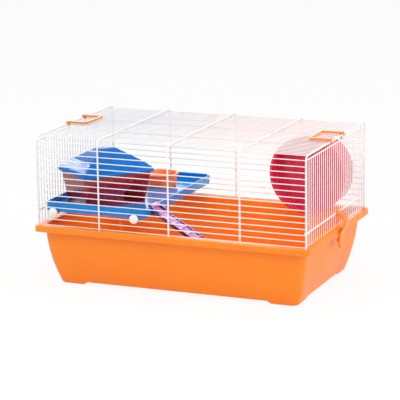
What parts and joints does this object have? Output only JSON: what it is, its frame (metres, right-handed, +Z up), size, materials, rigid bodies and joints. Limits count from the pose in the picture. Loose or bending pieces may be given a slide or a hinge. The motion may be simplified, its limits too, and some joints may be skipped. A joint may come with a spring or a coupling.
{
  "type": "hamster cage",
  "caption": "Wire hamster cage on a deep orange plastic tray, with a raised shelf, small house, ramp, food bowl, running wheel, end doors, roof clips and tray latches.",
  "frame": {"origin": "on the ground, at the middle of the cage's footprint", "axes": "+X right along the long side, +Y towards the back, +Z up; the side with the two white knobs faces -Y"},
  "size_m": [0.4914, 0.3, 0.2499],
  "materials": {
    "tray_plastic": "smooth moulded plastic, satin gloss",
    "wire_coating": "white powder-coated steel wire",
    "clip_plastic": "moulded plastic, satin",
    "platform_plastic": "smooth moulded plastic, glossy",
    "ladder_plastic": "smooth moulded plastic, glossy",
    "knob_plastic": "glossy white plastic",
    "screw_steel": "zinc-plated steel",
    "wheel_plastic": "smooth moulded plastic, glossy",
    "house_wall_plastic": "moulded plastic, satin",
    "house_roof_plastic": "moulded plastic, glossy",
    "bowl_plastic": "moulded plastic, satin"
  },
  "bodies": {
    "tray_body": {"tray": "tray_plastic"},
    "wire_top": {"front_grille": "wire_coating", "back_grille": "wire_coating", "roof_grille": "wire_coating", "platform": "platform_plastic", "knob_nuts": "screw_steel", "house_base": "house_wall_plastic", "wheel_axle": "screw_steel", "axle_cap": "wheel_plastic", "wheel_bracket": "wheel_plastic", "bracket_clamp_plate": "wheel_plastic", "bracket_screws": "screw_steel"},
    "right_door": {"right_end_grille": "wire_coating"},
    "left_door": {"left_end_grille": "wire_coating"},
    "right_clip": {"right_top_clip": "clip_plastic"},
    "left_clip": {"left_top_clip": "clip_plastic"},
    "right_latch": {"right_tray_latch": "clip_plastic"},
    "left_latch": {"left_tray_latch": "clip_plastic"},
    "wheel": {"wheel_drum": "wheel_plastic"},
    "roof": {"house_roof": "house_roof_plastic"},
    "bowl": {"food_bowl": "bowl_plastic"},
    "ramp": {"ladder": "ladder_plastic"},
    "left_knob_body": {"left_knob": "knob_plastic", "left_knob_screw": "screw_steel"},
    "right_knob_body": {"right_knob": "knob_plastic", "right_knob_screw": "screw_steel"}
  },
  "joints": [
    {"name": "cage_lift", "type": "slide", "parent": "tray_body", "child": "wire_top", "axis": [0, 0, 1], "range_m": [0, 0.04]},
    {"name": "right_latch_swing", "type": "hinge", "parent": "wire_top", "child": "right_latch", "pos_m": [0.228, 0, 0.124], "axis": [0, -1, 0], "range_deg": [0, 45]},
    {"name": "right_door_swing", "type": "hinge", "parent": "wire_top", "child": "right_door", "pos_m": [0.228, 0, 0.124], "axis": [0, 1, 0], "range_deg": [0, 70]},
    {"name": "right_clip_swing", "type": "hinge", "parent": "wire_top", "child": "right_clip", "pos_m": [0.228, 0, 0.245], "axis": [0, 1, 0], "range_deg": [0, 110]},
    {"name": "left_latch_swing", "type": "hinge", "parent": "wire_top", "child": "left_latch", "pos_m": [-0.228, 0, 0.124], "axis": [0, 1, 0], "range_deg": [0, 45]},
    {"name": "left_door_swing", "type": "hinge", "parent": "wire_top", "child": "left_door", "pos_m": [-0.228, 0, 0.124], "axis": [0, -1, 0], "range_deg": [0, 70]},
    {"name": "left_clip_swing", "type": "hinge", "parent": "wire_top", "child": "left_clip", "pos_m": [-0.228, 0, 0.245], "axis": [0, -1, 0], "range_deg": [0, 110]},
    {"name": "wheel_spin", "type": "hinge", "parent": "wire_top", "child": "wheel", "pos_m": [0.15, 0.1, 0.1626], "axis": [0, 1, 0], "continuous": true},
    {"name": "house_roof_lift", "type": "slide", "parent": "wire_top", "child": "roof", "axis": [0, 0, 1], "range_m": [0, 0.024]},
    {"name": "bowl_lift", "type": "slide", "parent": "wire_top", "child": "bowl", "axis": [0, 0, 1], "range_m": [0, 0.06]},
    {"name": "ladder_swing", "type": "hinge", "parent": "wire_top", "child": "ramp", "pos_m": [-0.043, -0.1025, 0.1367], "axis": [0, -1, 0], "range_deg": [0, 45]},
    {"name": "left_knob_turn", "type": "hinge", "parent": "wire_top", "child": "left_knob_body", "pos_m": [-0.201, -0.15, 0.1235], "axis": [0, -1, 0], "range_deg": [0, 720]},
    {"name": "right_knob_turn", "type": "hinge", "parent": "wire_top", "child": "right_knob_body", "pos_m": [-0.059, -0.15, 0.1235], "axis": [0, -1, 0], "range_deg": [0, 720]}
  ],
  "couplings": [
    {"joint": "right_latch_swing", "follows": "cage_lift", "rad_per_m": 19.6},
    {"joint": "left_latch_swing", "follows": "cage_lift", "rad_per_m": 19.6}
  ]
}
